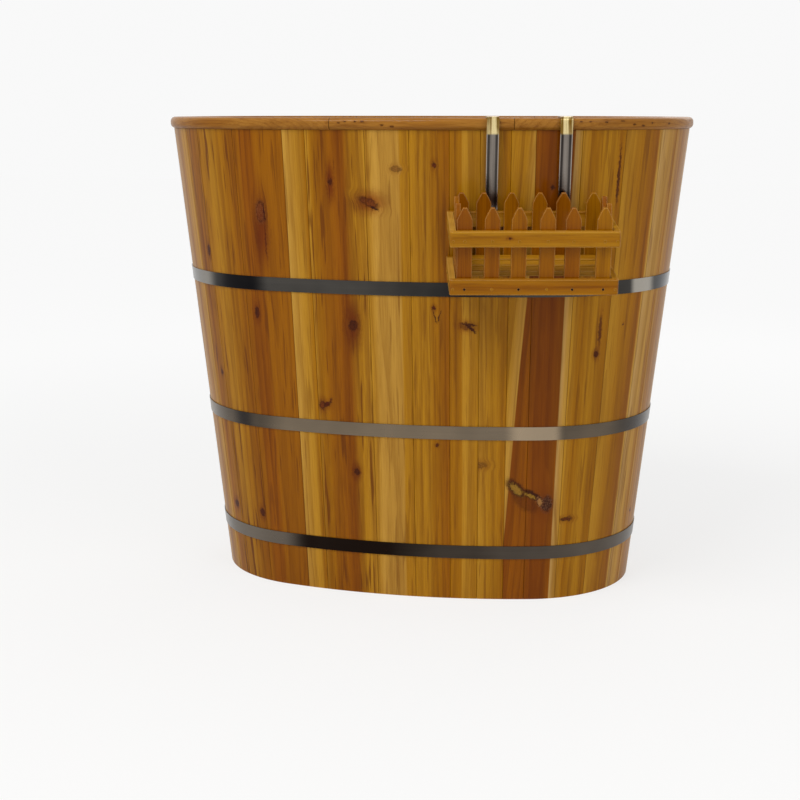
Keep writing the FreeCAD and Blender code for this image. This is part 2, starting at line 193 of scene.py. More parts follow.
def paintKnot(tree, colour, knotSpace, knot, distance, flecks):
    # a stain drawn out along the grain, then the knot with its core, dark rim and flecks
    around = aroundKnot(tree, knotSpace, knot, fir["haloReach"], fir["haloStretch"] * knot["streak"],
                        hang=knot["hang"])
    reach = addNode(tree, "ShaderNodeVectorMath", {"operation": "LENGTH"}, {0: around})
    halo = addNode(tree, "ShaderNodeMapRange", {"interpolation_type": "SMOOTHSTEP"}, {
        "Value": reach.outputs["Value"], "From Min": 0.1, "From Max": 1,
        "To Min": knot["halo"], "To Max": 0})
    stained = addNode(tree, "ShaderNodeMix", {"data_type": "RGBA", "blend_type": "MULTIPLY"}, {
        0: halo.outputs[0], 6: colour, 7: linear(fir["haloShade"])})
    body = addNode(tree, "ShaderNodeValToRGB", {}, {0: distance})
    core = linear(knot["core"])
    setStops(body.color_ramp, [
        (0, core), (0.55, core), (0.8, linear(fir["knotRim"])), (1, linear(fir["knotEdge"]))])
    flecked = addNode(tree, "ShaderNodeMix", {"data_type": "RGBA"}, {
        0: flecks, 6: body.outputs["Color"], 7: linear(knot["fleck"])})
    inside = addNode(tree, "ShaderNodeMapRange", {"interpolation_type": "SMOOTHSTEP"}, {
        "Value": distance, "From Min": 0.6, "From Max": 1.3, "To Min": knot["strength"], "To Max": 0})
    return addNode(tree, "ShaderNodeMix", {"data_type": "RGBA"}, {
        0: inside.outputs[0], 6: stained.outputs[2], 7: flecked.outputs[2]}).outputs[2]


def darkenJoint(tree, colour, where, joint, strength):
    # a hairline of varnish and dust along the joint with the next board
    point, way = wallPoint(joint, tub["middle"])
    gap = addNode(tree, "ShaderNodeVectorMath", {"operation": "SUBTRACT"}, {0: where, 1: point})
    off = addNode(tree, "ShaderNodeVectorMath", {"operation": "DOT_PRODUCT"}, {
        0: gap.outputs[0], 1: (-way.y, way.x, 0)})
    near = addNode(tree, "ShaderNodeMath", {"operation": "ABSOLUTE"}, {0: off.outputs["Value"]})
    seam = addNode(tree, "ShaderNodeMapRange", {"interpolation_type": "SMOOTHSTEP"}, {
        "Value": near.outputs[0], "From Min": 0, "From Max": fir["jointWidth"],
        "To Min": strength, "To Max": 0})
    return addNode(tree, "ShaderNodeMix", {"data_type": "RGBA"}, {
        0: seam.outputs[0], 6: colour, 7: linear(fir["jointShade"])}).outputs[2]


def paintEdgeHighlight(tree, colour, strength):
    # painted highlight: paler where a rounded edge would turn away from the flat face
    face = addNode(tree, "ShaderNodeNewGeometry")
    rounded = addNode(tree, "ShaderNodeBevel", {"samples": 4}, {"Radius": fir["arrisWidth"]})
    same = addNode(tree, "ShaderNodeVectorMath", {"operation": "DOT_PRODUCT"}, {
        0: rounded.outputs[0], 1: face.outputs["Normal"]})
    highlit = addNode(tree, "ShaderNodeMapRange", {"interpolation_type": "SMOOTHSTEP"}, {
        "Value": same.outputs["Value"], "From Min": 0.88, "From Max": 1, "To Min": strength, "To Max": 0})
    return addNode(tree, "ShaderNodeMix", {"data_type": "RGBA"}, {
        0: highlit.outputs[0], 6: colour, 7: linear(fir["edgeHighlightShade"])}).outputs[2]


def makeFir(name, place, tones, half, knots=(), seed=0, rings=0.4, streaks=0.5, resin=0.5, taper=0.0,
            scale=1.0, edgeHighlight=0.0, joints=(), jointStrength=0.4):
    # place is the board's matrix, tones are shares of its width with words, half is half that width,
    # taper is how fast the tones widen upwards, and a scale below 1 gives a finer grain
    rng = random.Random(seed)
    offset = [rng.uniform(-20, 20) for _ in range(3)]
    material, tree = startMaterial(name)
    where = addNode(tree, "ShaderNodeTexCoord").outputs["Object"]
    board = addNode(tree, "ShaderNodeMapping", {"vector_type": "TEXTURE"}, {
        "Vector": where, "Location": place.to_translation(), "Rotation": place.to_euler()}).outputs[0]
    # the grain wanders a little from straight
    slow = addNode(tree, "ShaderNodeMapping", {}, {
        "Vector": board, "Location": offset, "Scale": (1, 1, fir["grainStretch"])})
    drift = addNode(tree, "ShaderNodeTexNoise", {}, {
        "Vector": slow.outputs[0], "Scale": fir["wanderScale"] / scale, "Detail": 1.5})
    stray = fir["wander"] * scale
    bent = addNode(tree, "ShaderNodeVectorMath", {"operation": "MULTIPLY_ADD"}, {
        0: drift.outputs["Color"], 1: (stray, stray, 0), 2: board}).outputs[0]
    # ragged outlines for the knots, the same on neighbouring boards
    ragged = addNode(tree, "ShaderNodeTexNoise", {}, {
        "Vector": where, "Scale": fir["raggedScale"], "Detail": 5, "Roughness": 0.7})
    knotSpace = addNode(tree, "ShaderNodeVectorMath", {"operation": "MULTIPLY_ADD"}, {
        0: ragged.outputs["Color"], 1: fir["ragged"], 2: board}).outputs[0]
    spots = []
    for given in knots:
        knot = {**plainKnot, **given}
        # a knot is given by place and level on the wall, or else in the board's own axes
        onWall = len(knot["at"]) == 2
        knot["middle"] = place.inverted() @ wallPoint(*knot["at"])[0] if onWall else Vector(knot["at"])
        spot = aroundKnot(tree, knotSpace, knot, tilt=knot["tilt"])
        distance = addNode(tree, "ShaderNodeVectorMath", {"operation": "LENGTH"}, {0: spot}).outputs["Value"]
        bent = bendGrain(tree, bent, spot, distance, knot)
        spots.append((knot, distance))
    # sapwood and heartwood in stripes along the board
    split = addNode(tree, "ShaderNodeSeparateXYZ", {}, {0: bent})
    widening = addNode(tree, "ShaderNodeMath", {"operation": "MULTIPLY_ADD"}, {
        0: split.outputs["Z"], 1: taper, 2: 1})
    share = addNode(tree, "ShaderNodeMath", {"operation": "DIVIDE"}, {
        0: split.outputs["X"], 1: widening.outputs[0]})
    spread = addNode(tree, "ShaderNodeMapRange", {}, {
        "Value": share.outputs[0], "From Min": stray / 2 - half, "From Max": stray / 2 + half})
    tone = addNode(tree, "ShaderNodeValToRGB", {}, {0: spread.outputs[0]})
    setStops(tone.color_ramp, [(spot, linear(firTones[word])) for spot, word in tones])
    # wide soft streaks
    flow = addNode(tree, "ShaderNodeMapping", {}, {
        "Vector": bent, "Location": offset, "Scale": (1, 1, fir["streakStretch"])})
    streak = addNode(tree, "ShaderNodeTexNoise", {}, {
        "Vector": flow.outputs[0], "Scale": 1 / (fir["streakWidth"] * scale),
        "Detail": 5, "Roughness": 0.65})
    low, high = fir["streakEdge"]
    mask = addNode(tree, "ShaderNodeMapRange", {"interpolation_type": "SMOOTHSTEP"}, {
        "Value": streak.outputs["Fac"], "From Min": low, "From Max": high, "To Max": streaks})
    colour = addNode(tree, "ShaderNodeMix", {"data_type": "RGBA", "blend_type": "MULTIPLY"}, {
        0: mask.outputs[0], 6: tone.outputs["Color"], 7: linear(fir["streakShade"])}).outputs[2]
    # growth rings: pale early wood, darker late wood that ends in a sharp line
    beside, behind = fir["pith"]
    cut = addNode(tree, "ShaderNodeMapping", {}, {
        "Vector": bent, "Scale": (1, 1, fir["grainStretch"]),
        "Location": (-beside * rng.uniform(-1, 1), -behind * rng.uniform(*fir["pithSpread"]), offset[2])})
    # the wave texture repeats every pi / 10 over its scale
    gap = fir["ringGap"] * scale * rng.uniform(*fir["ringSpread"])
    ring = addNode(tree, "ShaderNodeTexWave", {
        "wave_type": "RINGS", "rings_direction": "Z", "wave_profile": "SAW"}, {
        "Vector": cut.outputs[0], "Scale": math.pi / 10 / gap,
        "Distortion": 7, "Detail": 2, "Detail Scale": 0.35, "Detail Roughness": 0.6})
    late = addNode(tree, "ShaderNodeValToRGB", {}, {0: ring.outputs["Fac"]})
    setStops(late.color_ramp, [
        (0, grey(0.3)), (0.12, grey(0)), (0.6, grey(0.15)), (0.93, grey(1)), (1, grey(0.8))], "LINEAR")
    mask = addNode(tree, "ShaderNodeMath", {"operation": "MULTIPLY"}, {0: late.outputs["Color"], 1: rings})
    colour = addNode(tree, "ShaderNodeMix", {"data_type": "RGBA", "blend_type": "MULTIPLY"}, {
        0: mask.outputs[0], 6: colour, 7: linear(fir["lateShade"])}).outputs[2]
    # resin lines
    lines = addNode(tree, "ShaderNodeTexNoise", {}, {
        "Vector": flow.outputs[0], "Scale": 1 / (fir["resinWidth"] * scale), "Detail": 2})
    low, high = fir["resinEdge"]
    mask = addNode(tree, "ShaderNodeMapRange", {"interpolation_type": "SMOOTHSTEP"}, {
        "Value": lines.outputs["Fac"], "From Min": low, "From Max": high, "To Max": resin})
    colour = addNode(tree, "ShaderNodeMix", {"data_type": "RGBA"}, {
        0: mask.outputs[0], 6: colour, 7: linear(fir["resinShade"])}).outputs[2]
    # fibres
    threads = addNode(tree, "ShaderNodeMapping", {}, {
        "Vector": bent, "Location": offset, "Scale": (1, 1, fir["fibreStretch"])})
    fibre = addNode(tree, "ShaderNodeTexNoise", {}, {
        "Vector": threads.outputs[0], "Scale": 1 / fir["fibreWidth"], "Detail": 2})
    low, high = fir["fibreEdge"]
    mask = addNode(tree, "ShaderNodeMapRange", {}, {
        "Value": fibre.outputs["Fac"], "From Min": low, "From Max": high, "To Max": fir["fibreStrength"]})
    colour = addNode(tree, "ShaderNodeMix", {"data_type": "RGBA", "blend_type": "MULTIPLY"}, {
        0: mask.outputs[0], 6: colour, 7: linear(fir["fibreShade"])}).outputs[2]
    # knots
    fleck = addNode(tree, "ShaderNodeTexNoise", {}, {
        "Vector": knotSpace, "Scale": fir["fleckScale"], "Detail": 2})
    low, high = fir["fleckEdge"]
    flecks = addNode(tree, "ShaderNodeMapRange", {}, {
        "Value": fleck.outputs["Fac"], "From Min": low, "From Max": high, "To Max": fir["fleckStrength"]})
    for knot, distance in spots:
        colour = paintKnot(tree, colour, knotSpace, knot, distance, flecks.outputs[0])
    for joint in joints:
        colour = darkenJoint(tree, colour, where, joint, jointStrength)
    # a painted highlight along the edges of the board
    if edgeHighlight:
        colour = paintEdgeHighlight(tree, colour, edgeHighlight)
    # open grain under a smooth brushed varnish
    groove = addNode(tree, "ShaderNodeBump", {}, {
        "Height": fibre.outputs["Fac"], "Strength": fir["bump"], "Distance": fir["fibreDepth"]})
    brushed = addNode(tree, "ShaderNodeBump", {}, {
        "Height": streak.outputs["Fac"], "Strength": fir["bump"], "Distance": fir["brushDepth"]})
    low, high = fir["roughness"]
    dull = addNode(tree, "ShaderNodeMapRange", {}, {
        "Value": streak.outputs["Fac"], "From Min": 0.3, "From Max": 0.7, "To Min": low, "To Max": high})
    shader = addNode(tree, "ShaderNodeBsdfPrincipled", {}, {
        "Base Color": colour, "Roughness": dull.outputs[0], "Specular IOR Level": fir["specular"],
        "Coat Weight": fir["varnish"], "Coat Roughness": fir["varnishRoughness"],
        "Coat IOR": fir["varnishIor"], "Normal": groove.outputs[0], "Coat Normal": brushed.outputs[0]})
    finishMaterial(tree, shader)
    return material


def evenTones(words):
    return [(i / max(1, len(words) - 1), word) for i, word in enumerate(words)]


# The wall: tones from left to right over each stave that the photograph shows
staveLooks = {
    1: {"tones": [(0, "straw"), (0.75, "honey"), (1, "amber")], "streaks": 0.35},
    2: {"tones": [(0, "honey"), (0.1, "amber"), (0.3, "brown"), (0.6, "russet"), (0.78, "golden"),
                  (1, "honey")], "streaks": 0.7, "resin": 0.8},
    3: {"tones": [(0, "honey"), (0.2, "straw"), (0.7, "straw"), (0.78, "golden"), (1, "golden")],
        "streaks": 0.35},
    4: {"tones": [(0, "golden"), (0.45, "golden"), (0.6, "amber"), (1, "brown")], "streaks": 0.6},
    5: {"tones": [(0, "amber"), (0.35, "amber"), (0.45, "honey"), (1, "golden")], "streaks": 0.45},
    6: {"tones": [(0, "honey"), (0.5, "golden"), (1, "amber")], "streaks": 0.45},
    7: {"tones": [(0, "golden"), (0.5, "straw"), (0.56, "straw"), (0.62, "heart"), (1, "russet")],
        "streaks": 0.4, "resin": 0.2, "skew": 3.6},  # its heartwood runs askew, in degrees
    8: {"tones": [(0, "russet"), (0.3, "heart"), (0.55, "heart"), (0.83, "russet"), (0.86, "pale"),
                  (1, "straw")], "streaks": 0.4, "resin": 0.2},
    9: {"tones": [(0, "honey"), (0.25, "amber"), (0.6, "golden"), (1, "amber")], "streaks": 0.45},
    10: {"tones": [(0, "honey"), (0.5, "amber"), (0.85, "brown"), (0.92, "straw"), (1, "pale")],
         "streaks": 0.4},
    11: {"tones": [(0, "pale"), (0.55, "straw"), (1, "amber")], "streaks": 0.35},
    12: {"tones": [(0, "golden"), (0.3, "amber"), (1, "honey")], "streaks": 0.5},
    26: {"tones": [(0, "golden"), (0.5, "straw"), (1, "amber")], "streaks": 0.4},
    27: {"tones": [(0, "honey"), (0.5, "amber"), (0.9, "honey")], "streaks": 0.5},
    28: {"tones": [(0, "golden"), (0.5, "brown"), (1, "amber")], "streaks": 0.9, "resin": 0.9},
    29: {"tones": [(0, "amber"), (0.4, "golden"), (0.6, "amber"), (1, "brown")], "streaks": 0.6,
         "resin": 0.9},
    30: {"tones": [(0, "brown"), (0.08, "russet"), (0.28, "russet"), (0.4, "brown"), (1, "brown")],
         "streaks": 0.45, "resin": 0.6},
}
# knots by place round the wall and level; a later one is painted over an earlier one
wallKnots = [
    dict(at=(3.998, 0.690), size=(0.0100, 0.022), core="#622A08", fleck="#7A4420", halo=0.9, streak=1.6,
         hang=-0.03),
    dict(at=(0.012, 0.690), size=(0.0016, 0.017), tilt=-4, core="#3A0E04", halo=0.2, push=0,
         staves=(30,)),
    dict(at=(0.011, 0.640), size=(0.0014, 0.030), core="#5A2404", strength=0.7, halo=0.3, push=0,
         staves=(30,)),
    dict(at=(3.814, 0.616), size=(0.005, 0.010), halo=0.7),
    dict(at=(0.272, 0.744), size=(0.005, 0.006), halo=0.9, streak=3.0),
    dict(at=(0.408, 0.711), size=(0.020, 0.0070), tilt=24, core="#70360C", fleck="#4A1E06", halo=0.95,
         streak=1.4, push=0.5, staves=(2, 3)),
    dict(at=(0.428, 0.701), size=(0.009, 0.0020), tilt=30, core="#2E1004", halo=0, push=0, staves=(2, 3)),
    dict(at=(0.508, 0.767), size=(0.010, 0.005), core="#7A4A1C", strength=0.6, halo=0.3),
    dict(at=(3.968, 0.513), size=(0.005, 0.011), core="#4A1C08", halo=0.7),
    dict(at=(0.336, 0.499), size=(0.009, 0.010), halo=0.95, streak=2.2),
    dict(at=(0.638, 0.774), size=(0.004, 0.006), core="#5A1E0A", halo=0.5),
    dict(at=(0.634, 0.533), size=(0.0035, 0.004), core="#5A1E0A", halo=0.6),
    dict(at=(0.637, 0.517), size=(0.0012, 0.011), tilt=-16, core="#5A2A0A", halo=0.2, push=0),
    dict(at=(0.653, 0.518), size=(0.0012, 0.011), tilt=18, core="#5A2A0A", halo=0.2, push=0),
    # a spike knot, sawn along its length
    dict(at=(0.746, 0.503), size=(0.010, 0.006), core="#6E3E10", strength=0.5, halo=0.6, push=0.2),
    dict(at=(0.760, 0.505), size=(0.014, 0.0022), tilt=8, core="#4A2208", halo=0.3, push=0),
    dict(at=(0.764, 0.499), size=(0.013, 0.0020), tilt=34, core="#4A2208", halo=0.3, push=0),
    dict(at=(0.772, 0.496), size=(0.010, 0.0018), tilt=52, core="#4A2208", halo=0.2, push=0),
    dict(at=(1.026, 0.738), size=(0.0035, 0.004), halo=0.4),
    dict(at=(1.164, 0.492), size=(0.003, 0.026), core="#5A2A0E", strength=0.7, halo=0.6),
    dict(at=(1.158, 0.450), size=(0.005, 0.006), halo=0.6),
    dict(at=(3.806, 0.392), size=(0.004, 0.006), halo=0.5),
    dict(at=(0.200, 0.352), size=(0.0065, 0.0085), core="#6A300A", fleck="#4A1A06", halo=0.6, push=0.4),
    dict(at=(0.222, 0.354), size=(0.0060, 0.0050), tilt=-20, core="#4A1206", halo=0.5, push=0.4),
    dict(at=(0.236, 0.361), size=(0.0030, 0.0050), tilt=20, core="#6A300A", halo=0.2, push=0),
    dict(at=(3.800, 0.137), size=(0.007, 0.008), halo=0.7),
    dict(at=(3.926, 0.134), size=(0.006, 0.008), halo=0.7),
    dict(at=(0.328, 0.232), size=(0.006, 0.006), halo=0.8, streak=1.5),
    dict(at=(0.642, 0.289), size=(0.0035, 0.0035), halo=0.4),
    dict(at=(0.800, 0.254), size=(0.014, 0.006), core="#7E5018", strength=0.6, halo=0.4),
    dict(at=(1.236, 0.499), size=(0.002, 0.002), halo=0.3),
    dict(at=(1.177, 0.757), size=(0.0024, 0.050), core="#5A2A06", halo=0.5, push=0),
    dict(at=(1.106, 0.151), size=(0.012, 0.004), core="#5A2608", halo=0.4),
    dict(at=(1.400, 0.136), size=(0.003, 0.004), halo=0.4),
]
# a long pocket of ingrown bark with pale resin wood in it, across two staves
barkPocket = [
    dict(at=(0.976, 0.186), size=(0.028, 0.014), tilt=38, core="#5A2200", strength=0.5, halo=0),
    dict(at=(0.940, 0.211), size=(0.0235, 0.0115), tilt=42, core="#2E1006", halo=0),
    dict(at=(1.000, 0.199), size=(0.021, 0.0075), tilt=27, core="#2E1006", halo=0),
    dict(at=(1.044, 0.182), size=(0.012, 0.017), core="#2E1408", fleck="#6A4632", halo=0.3),
    dict(at=(0.940, 0.2095), size=(0.0200, 0.0080), tilt=42, core="#9A7226", fleck="#86601C", halo=0),
    dict(at=(0.996, 0.197), size=(0.0170, 0.0042), tilt=27, core="#9A7226", fleck="#86601C", halo=0),
    dict(at=(1.024, 0.186), size=(0.0065, 0.0095), tilt=-10, core="#9A6E34", fleck="#A8744A", halo=0),
]
wallKnots += [dict(knot, push=0, staves=(7, 8)) for knot in barkPocket]
# staves that the photograph doesn't show have the same mix of tones and knots
unseenWall = {
    "seed": 41, "sapwood": 0.45, "knotsPerStave": 1.6, "streaks": (0.35, 0.7),
    "sapTones": ["straw", "honey", "golden", "honey"], "heartTones": ["amber", "russet", "brown", "golden"],
    "knotAcross": (0.2, 0.8), "knotLevel": (0.12, 0.8),
    "knotWide": (0.003, 0.008), "knotHigh": (0.004, 0.012),
}


def isOnStave(knot, number, start, end):
    # a knot is on the stave where its middle is, unless it names its staves
    if "staves" in knot:
        return number in knot["staves"]
    place = knot["at"][0]
    return start <= place < end or start <= place + sides < end


def pairs(joints):
    # each joint with the next one, the last with the first
    return list(zip(joints, joints[1:] + [joints[0] + sides]))


chance = random.Random(unseenWall["seed"])
for number, (start, end) in enumerate(pairs(staveJoints), 1):
    look = staveLooks.get(number)
    knots = [knot for knot in wallKnots if isOnStave(knot, number, start, end)]
    if look is None:
        sap = chance.random() < unseenWall["sapwood"]
        words = list(unseenWall["sapTones"] if sap else unseenWall["heartTones"])
        chance.shuffle(words)
        look = {"tones": evenTones(words), "streaks": chance.uniform(*unseenWall["streaks"])}
        for _ in range(int(unseenWall["knotsPerStave"] + chance.random())):
            across = start + (end - start) * chance.uniform(*unseenWall["knotAcross"])
            level = chance.uniform(*unseenWall["knotLevel"])
            wide = chance.uniform(*unseenWall["knotWide"])
            high = chance.uniform(*unseenWall["knotHigh"])
            knots.append(dict(at=(across, level), size=(wide, high)))
    place = staveMatrix((start + end) / 2, look.get("skew", 0))
    # half the stave's width in the middle and at the rim
    half = (wallPoint(end, tub["middle"])[0] - wallPoint(start, tub["middle"])[0]).length / 2
    halfHigh = (wallPoint(end, tub["height"])[0] - wallPoint(start, tub["height"])[0]).length / 2
    taper = (halfHigh / half - 1) / (tub["height"] - tub["middle"])
    cover(f"stave_{number:02d}", makeFir(
        f"varnished fir stave {number:02d}", place, look["tones"], half, knots, seed=number,
        streaks=look["streaks"], resin=look.get("resin", 0.4), taper=taper, joints=(start, end)))
print("staves done")

# Rim: sawn to the curve from straight planks, so the grain runs straight along each length
rim = {
    "tones": [(0, "tan"), (0.5, "tan"), (1, "brown")], "level": 0.840, "half": 0.020, "seed": 100,
    # pin knots on the nose of the rim, by place and level; half width and half height
    "nose": 0.006, "pinSize": (0.0018, 0.0034), "pinCore": "#5E3206", "pinHalo": 0.2, "pinKnots": [
        (0.314, 0.842), (0.336, 0.844), (0.371, 0.844), (0.398, 0.844), (0.465, 0.838), (0.499, 0.836),
        (1.078, 0.844), (1.098, 0.844), (1.132, 0.843), (1.172, 0.845), (1.200, 0.839), (1.225, 0.837),
        (1.252, 0.841), (1.310, 0.840)],
}
for number, (start, end) in enumerate(pairs(rimJoints), 1):
    first = wallPoint(start, rim["level"])[0]
    last = wallPoint(end, rim["level"])[0]
    middle, way = wallPoint((start + end) / 2, rim["level"])
    place = boardMatrix(middle, way, (last - first).normalized())
    short, long = rim["pinSize"]
    pins = [dict(at=place.inverted() @ wallPoint(*pin, rim["nose"])[0], size=(short * 2, long), deep=short,
                 core=rim["pinCore"], halo=rim["pinHalo"], push=0)
            for pin in rim["pinKnots"] if start <= pin[0] < end]
    cover(f"rim_cap_{number}", makeFir(
        f"varnished fir rim {number}", place, rim["tones"], rim["half"], pins, seed=rim["seed"] + number,
        rings=0.35, streaks=0.45, resin=0.35, scale=0.7, joints=(start, end), jointStrength=0.8))

# Floor of the tub: five boards along its length, each with one knot
floorBoards = {
    "tones": [["honey", "straw", "honey"], ["golden", "amber", "honey"], ["straw", "honey", "amber"],
              ["amber", "golden", "straw"], ["honey", "golden", "honey"]],
    "half": 0.044, "seed": 200, "knotAcross": 0.03, "knotAlong": 0.25, "knotSize": (0.006, 0.009),
}
for number, words in enumerate(floorBoards["tones"], 1):
    low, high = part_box(f"floor_board_{number}")
    place = boardMatrix((low + high) / 2, Vector((0, 1, 0)), Vector((1, 0, 0)))
    across = chance.uniform(-floorBoards["knotAcross"], floorBoards["knotAcross"])
    along = chance.uniform(-floorBoards["knotAlong"], floorBoards["knotAlong"])
    cover(f"floor_board_{number}", makeFir(
        f"varnished fir floor {number}", place, evenTones(words), floorBoards["half"],
        [dict(at=(across, 0, along), size=floorBoards["knotSize"])],
        seed=floorBoards["seed"] + number, streaks=0.5, resin=0.3))
print("rim and floor done")

# Caddy: planed strips of the same fir, lighter, each with its own tone.
# Its own axes start at the back of its foot, in the middle: x right, y towards the tub, z up.
caddy = {
    # where it hangs on the wall, and how far it turns and leans in degrees
    "place": 0.955, "outward": -0.0274, "level": 0.599, "turn": 11.7003, "lean": 8.3376,
    "middle": -0.08, "halfWidth": 0.133,
    "railHalf": 0.0125, "frontRail": -0.151, "backRail": -0.006, "sideRail": 0.128,
    # front rails lie in front of frontInside, back rails behind backInside, and slats above cleatTop
    "frontInside": -0.1459, "backInside": -0.0121, "cleatTop": 0.0249,
    "frontPickets": -0.142, "backPickets": -0.016, "picketSpan": 0.0443, "slatLevel": 0.025,
    # half the width over which the tones run, wider than a strip where several share them
    "picketSpread": 0.14, "slatSpread": 0.06, "cleatSpread": 0.12,
    "strapMiddle": 0.05985, "strapHalf": 0.010,
    # nails left bare on the front of the lower rail, across the caddy; the rest are filled
    "bareNails": (-0.1097, -0.0244, 0.0599, 0.1086), "nailReach": 0.004,
    "frontNails": -0.150, "lowNails": 0.05,
}
rails = {
    "caddy_upper_rails": {"level": 0.0895, "seed": 300, "front": ["golden", "amber", "golden"],
                          "knots": [dict(at=(0.002, 0, -0.040), size=(0.002, 0.003))]},
    "caddy_lower_rails": {"level": 0.0125, "seed": 320, "front": ["amber", "brown", "amber"], "knots": []},
}
caddyTones = {
    "back": ["golden", "honey", "amber"], "left": ["straw", "honey", "straw"],
    "right": ["honey", "golden", "honey"],
    "slats": ["straw", "honey", "golden"], "cleats": ["golden", "amber"],
    "pickets": [["russet", "brown", "russet"], ["brown", "russet", "brown"], ["amber", "brown", "amber"]],
}
foot = wallPoint(caddy["place"], tub["height"], caddy["outward"])[0]
foot.z = caddy["level"]
caddyMatrix = (Matrix.Translation(foot) @ Matrix.Rotation(math.radians(caddy["turn"]), 4, "Z")
               @ Matrix.Rotation(math.radians(caddy["lean"]), 4, "X"))


def caddyFir(name, at, across, along, words, half, seed, knots=()):
    place = caddyMatrix @ boardMatrix(Vector(at), Vector(across), Vector(along))
    # every caddy strip gets a painted highlight along its edges
    return makeFir(name, place, evenTones(words), half, knots, seed, rings=0.3, streaks=0.4, resin=0.3,
                   scale=0.7, edgeHighlight=0.5)


def dress(name, materials, choose):
    # gives each loose piece of a node its own material, picked by where it lies in the caddy
    mesh = nodes[name].data
    mesh.materials.clear()
    for material in materials:
        mesh.materials.append(material)
    back = caddyMatrix.inverted()
    for polygon in mesh.polygons:
        polygon.material_index = choose(back @ polygon.center)


def whichRail(at):
    if at.y < caddy["frontInside"]:
        return 0
    if at.y > caddy["backInside"]:
        return 1
    return 2 if at.x < 0 else 3


def whichPicket(at):
    return int((at.x + caddy["halfWidth"]) / caddy["picketSpan"]) % len(caddyTones["pickets"])


def whichSidePicket(at):
    return int(at.x > 0) + int(at.y < caddy["middle"])


right, deep, up = (1, 0, 0), (0, 1, 0), (0, 0, 1)
for node, rail in rails.items():
    # where each strip lies, the way its grain runs, its tones and knots
    strips = {
        "front": (0, caddy["frontRail"], right, rail["front"], rail["knots"]),
        "back": (0, caddy["backRail"], right, caddyTones["back"], []),
        "left": (-caddy["sideRail"], caddy["middle"], deep, caddyTones["left"], []),
        "right": (caddy["sideRail"], caddy["middle"], deep, caddyTones["right"], []),
    }
    boards = []
    for i, (side, (x, y, along, words, knots)) in enumerate(strips.items()):
        boards.append(caddyFir(f"{node} {side} fir", (x, y, rail["level"]), up, along, words,
                               caddy["railHalf"], rail["seed"] + i, knots))
    dress(node, boards, whichRail)

# where each row of pickets lies, the way across a picket, the first seed
for node, y, across, seed, choose in (
        ("caddy_front_pickets", caddy["frontPickets"], right, 340, whichPicket),
        ("caddy_back_pickets", caddy["backPickets"], right, 340, whichPicket),
        ("caddy_side_pickets", caddy["middle"], deep, 341, whichSidePicket)):
    boards = []
    for i, words in enumerate(caddyTones["pickets"]):
        boards.append(caddyFir(f"{node} fir {i}", (0, y, 0), across, up, words, caddy["picketSpread"],
                               seed + 7 * i))
    dress(node, boards, choose)

slat = caddyFir("caddy slat fir", (0, caddy["middle"], caddy["slatLevel"]), deep, right,
                caddyTones["slats"], caddy["slatSpread"], 360)
cleat = caddyFir("caddy cleat fir", (0, caddy["middle"], 0), right, deep,
                 caddyTones["cleats"], caddy["cleatSpread"], 361)
dress("caddy_floor", [slat, cleat], lambda at: 0 if at.z > caddy["cleatTop"] else 1)
print("caddy done")

# Metals. "lines" are marks per metre along x, y and z, "patch" blotches per metre, "lineShare" how much of
# the tone comes from the lines, and the painted reflection stops pair a place, 0 to 1, with how bright the
# painted reflection is there, 0 to 1.
hoopStrip = {"roughness": (0.22, 0.34), "lines": (6, 6, 900), "patch": 3, "lineShare": 0.12}
steels = {
    # cold rolled stainless strip with fine rolling lines along it, and a painted reflection that is bright
    # in places and nearly black in others, from the tub's left end to its right
    "upper hoop": {
        **hoopStrip, "dark": "#161517", "light": "#A09A90", "roughness": (0.18, 0.30),
        "reflectionStops": [(0.08, 0.35), (0.13, 0.6), (0.16, 0.15), (0.19, 0.0), (0.23, 0.0), (0.27, 0.22),
                 (0.38, 0.26), (0.60, 0.18), (0.80, 0.3), (0.886, 0.25), (0.896, 0.95), (0.914, 0.95),
                 (0.928, 0.16), (0.942, 0.02)]},
    "middle hoop": {
        **hoopStrip, "dark": "#2E2B2A", "light": "#A8957C",
        "reflectionStops": [(0.08, 0.45), (0.17, 0.3), (0.20, 0.08), (0.23, 0.25), (0.30, 0.5), (0.68, 0.45),
                 (0.71, 0.8), (0.765, 0.75), (0.785, 0.3), (0.85, 0.35), (0.90, 0.15), (0.93, 0.3)]},
    "lower hoop": {
        **hoopStrip, "dark": "#1C1410", "light": "#8A8074",
        "reflectionStops": [(0.12, 0.45), (0.20, 0.6), (0.27, 0.5), (0.33, 0.05), (0.46, 0.0), (0.50, 0.1),
                 (0.60, 0.2), (0.84, 0.35)]},
    # straps bent from polished stainless strip, brighter than the hoops, with a painted reflection across
    # them: bright in the middle, 0, and at the edges, 1, and a painted straw yellow reflection where they
    # are bent over the rim
    "strap": {
        "dark": "#262220", "light": "#A89E94", "roughness": (0.12, 0.22), "lines": (240, 40, 3), "patch": 12,
        "lineShare": 0.6, "reflectionStops": [(0, 0.5), (0.3, 0.45), (0.6, 0.14), (0.8, 0.2), (0.93, 0.8)],
        "bendReflection": ("#7A5A1E", "#E2CE98"), "bendLevel": 0.826, "bendFade": 0.004},
    # turned heads of stainless screws and rivets: pale grey, a little scuffed
    "fixing": {"dark": "#77777A", "light": "#A9A9AC", "roughness": (0.25, 0.4), "lines": (400, 400, 400),
               "patch": 60, "lineShare": 0.12},
    # drawn wire nails, browned by the wet wood: dark dots
    "nail": {"dark": "#1E1008", "light": "#3E2A1C", "roughness": (0.45, 0.65), "lines": (500, 500, 500),
             "patch": 90, "lineShare": 0.12},
    # chromium plate on brass: mirror bright, with dried water marks
    "chrome": {"dark": "#A8ACB0", "light": "#D6D9DC", "roughness": (0.05, 0.16), "lines": (60, 60, 60),
               "patch": 40, "lineShare": 0.12},
}
